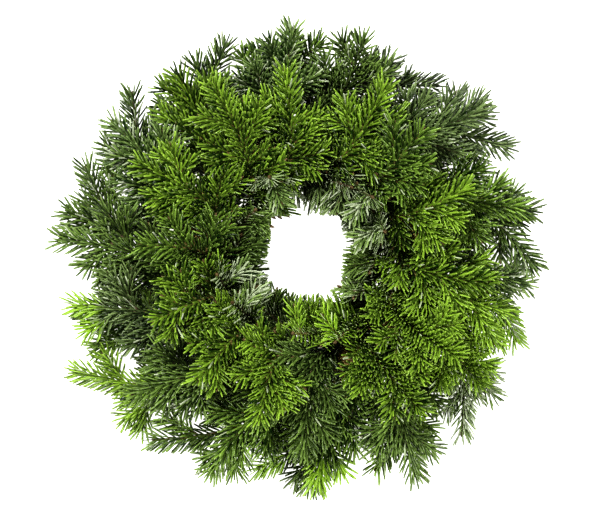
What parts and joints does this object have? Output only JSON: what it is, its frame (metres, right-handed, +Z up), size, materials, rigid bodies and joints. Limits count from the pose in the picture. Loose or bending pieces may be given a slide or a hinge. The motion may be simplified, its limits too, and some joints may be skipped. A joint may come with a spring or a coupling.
{
  "type": "evergreen wreath",
  "caption": "Round wreath of fresh fir sprigs that swirl clockwise, bound with wire to a ring of straw, with an open middle.",
  "frame": {"origin": "middle of the wreath's footprint on the surface that it lies on", "axes": "+Z up, the way the wreath faces, +X to the right in the picture and +Y towards the picture's top"},
  "size_m": [0.5062, 0.4946, 0.1175],
  "materials": {
    "straw": "dry straw, pressed into a tight bundle",
    "wire": "green lacquered florist's wire",
    "fir_bright": "glossy bright green needles on a brown twig",
    "fir_green": "glossy mid green needles on a brown twig",
    "fir_dark": "glossy dark green needles on a brown twig",
    "fir_dusky": "grey-green needles with a dull bloom on a brown twig",
    "fir_silver": "needles turned over to show their silvery undersides"
  },
  "bodies": {
    "root": {"straw_ring": "straw", "binding_wire": "wire", "fir_sprig_skirt_01": "fir_dusky", "fir_sprig_skirt_02": "fir_dusky", "fir_sprig_skirt_03": "fir_dark", "fir_sprig_skirt_04": "fir_silver", "fir_sprig_skirt_05": "fir_silver", "fir_sprig_skirt_06": "fir_green", "fir_sprig_skirt_07": "fir_dark", "fir_sprig_skirt_08": "fir_green", "fir_sprig_skirt_09": "fir_bright", "fir_sprig_skirt_10": "fir_green", "fir_sprig_skirt_11": "fir_dark", "fir_sprig_skirt_12": "fir_dark", "fir_sprig_skirt_13": "fir_dark", "fir_sprig_skirt_14": "fir_green", "fir_sprig_shoulder_01": "fir_dark", "fir_sprig_shoulder_02": "fir_dusky", "fir_sprig_shoulder_03": "fir_green", "fir_sprig_shoulder_04": "fir_bright", "fir_sprig_shoulder_05": "fir_bright", "fir_sprig_shoulder_06": "fir_dark", "fir_sprig_shoulder_07": "fir_green", "fir_sprig_shoulder_08": "fir_green", "fir_sprig_shoulder_09": "fir_dark", "fir_sprig_shoulder_10": "fir_dusky", "fir_sprig_shoulder_11": "fir_dark", "fir_sprig_shoulder_12": "fir_silver", "fir_sprig_shoulder_13": "fir_bright", "fir_sprig_shoulder_14": "fir_silver", "fir_sprig_crown_01": "fir_bright", "fir_sprig_crown_02": "fir_green", "fir_sprig_crown_03": "fir_bright", "fir_sprig_crown_04": "fir_bright", "fir_sprig_crown_05": "fir_bright", "fir_sprig_crown_06": "fir_bright", "fir_sprig_crown_07": "fir_dark", "fir_sprig_crown_08": "fir_bright", "fir_sprig_crown_09": "fir_bright", "fir_sprig_crown_10": "fir_bright", "fir_sprig_crown_11": "fir_green", "fir_sprig_crown_12": "fir_bright", "fir_sprig_crown_13": "fir_bright", "fir_sprig_crown_14": "fir_bright", "fir_sprig_lip_01": "fir_silver", "fir_sprig_lip_02": "fir_silver", "fir_sprig_lip_03": "fir_dark", "fir_sprig_lip_04": "fir_silver", "fir_sprig_lip_05": "fir_bright", "fir_sprig_lip_06": "fir_bright", "fir_sprig_lip_07": "fir_dark", "fir_sprig_lip_08": "fir_silver", "fir_sprig_lip_09": "fir_silver", "fir_sprig_lip_10": "fir_dark", "fir_sprig_lip_11": "fir_dark", "fir_sprig_lip_12": "fir_green", "fir_sprig_lip_13": "fir_silver", "fir_sprig_lip_14": "fir_dusky"}
  },
  "joints": []
}
